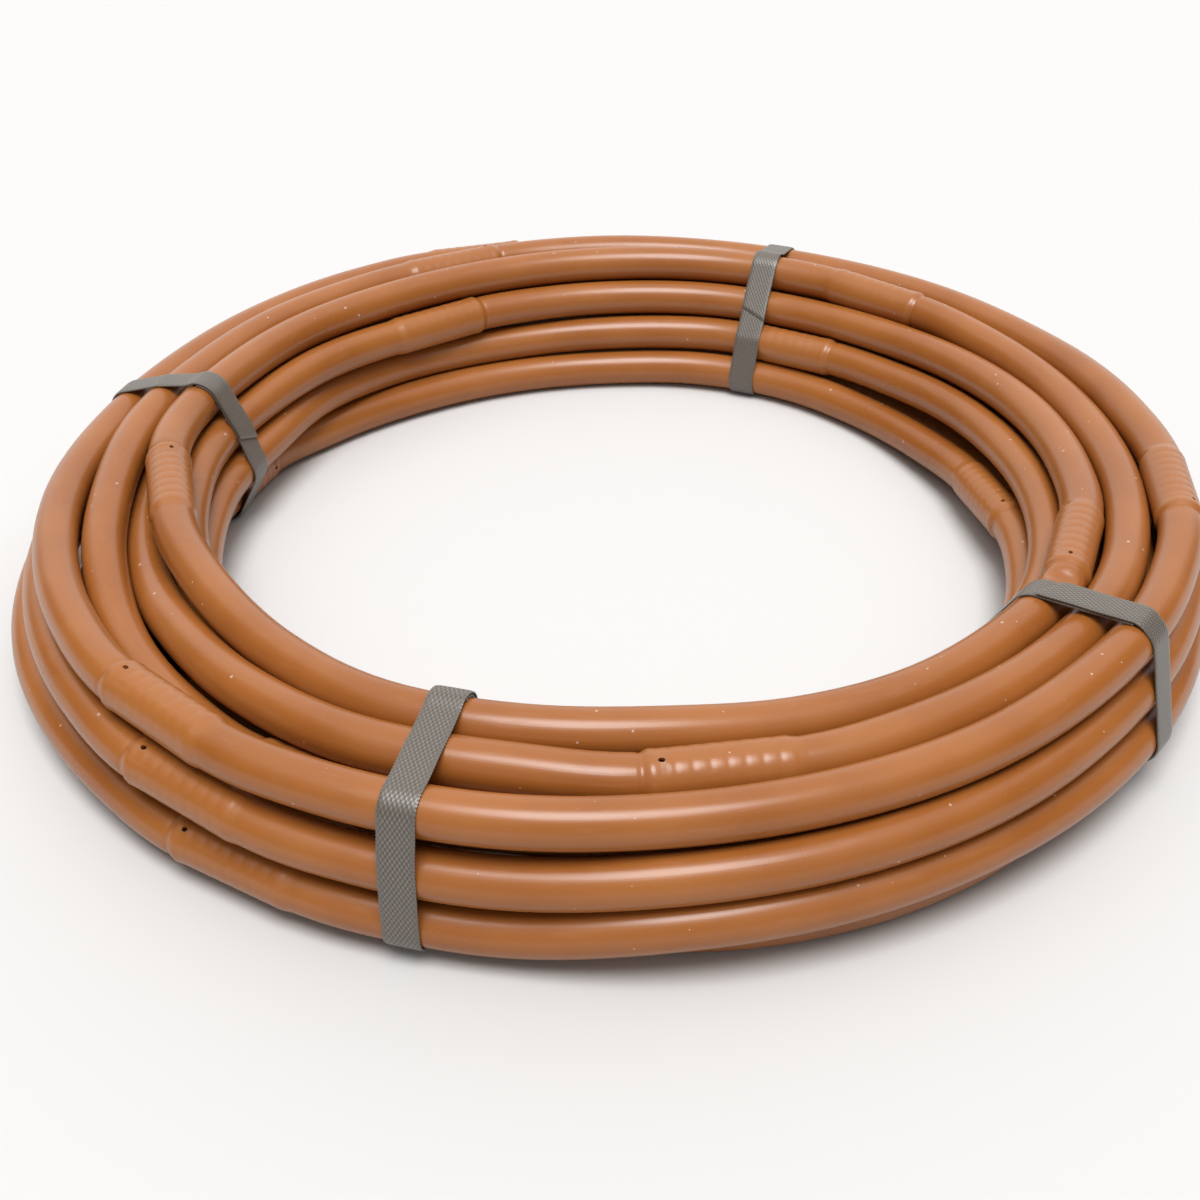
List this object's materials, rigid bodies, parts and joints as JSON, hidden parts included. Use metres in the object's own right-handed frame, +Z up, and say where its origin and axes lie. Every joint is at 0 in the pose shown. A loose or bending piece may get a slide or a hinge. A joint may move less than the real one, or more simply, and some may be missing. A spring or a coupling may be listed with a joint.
{
  "type": "soaker hose",
  "caption": "Coil of brown polyethylene drip hose with emitters seated inside its bore, held flat by woven straps round the bundle.",
  "frame": {"origin": "middle of the coil's box, at the level of the straps' undersides, on which the coil stands", "axes": "+Z up along the coil's axis, -Y to the front, where the front strap is a little left of the middle, +X to the right"},
  "size_m": [0.4626, 0.472, 0.067],
  "materials": {
    "hose_polyethylene": "satin",
    "emitter_moulding": "satin",
    "strap_webbing": "woven"
  },
  "bodies": {
    "root": {"hose": "hose_polyethylene", "emitter_01": "emitter_moulding", "emitter_02": "emitter_moulding", "emitter_03": "emitter_moulding", "emitter_04": "emitter_moulding", "emitter_05": "emitter_moulding", "emitter_06": "emitter_moulding", "emitter_07": "emitter_moulding", "emitter_08": "emitter_moulding", "emitter_09": "emitter_moulding", "emitter_10": "emitter_moulding", "emitter_11": "emitter_moulding", "emitter_12": "emitter_moulding", "emitter_13": "emitter_moulding", "emitter_14": "emitter_moulding", "emitter_15": "emitter_moulding", "emitter_16": "emitter_moulding", "emitter_17": "emitter_moulding", "emitter_18": "emitter_moulding", "emitter_19": "emitter_moulding", "emitter_20": "emitter_moulding", "emitter_21": "emitter_moulding", "emitter_22": "emitter_moulding", "emitter_23": "emitter_moulding", "emitter_24": "emitter_moulding", "emitter_25": "emitter_moulding", "emitter_26": "emitter_moulding", "emitter_27": "emitter_moulding", "emitter_28": "emitter_moulding", "emitter_29": "emitter_moulding", "emitter_30": "emitter_moulding", "emitter_31": "emitter_moulding", "emitter_32": "emitter_moulding", "strap_front": "strap_webbing", "strap_right": "strap_webbing", "strap_back": "strap_webbing", "strap_left": "strap_webbing"}
  },
  "joints": []
}
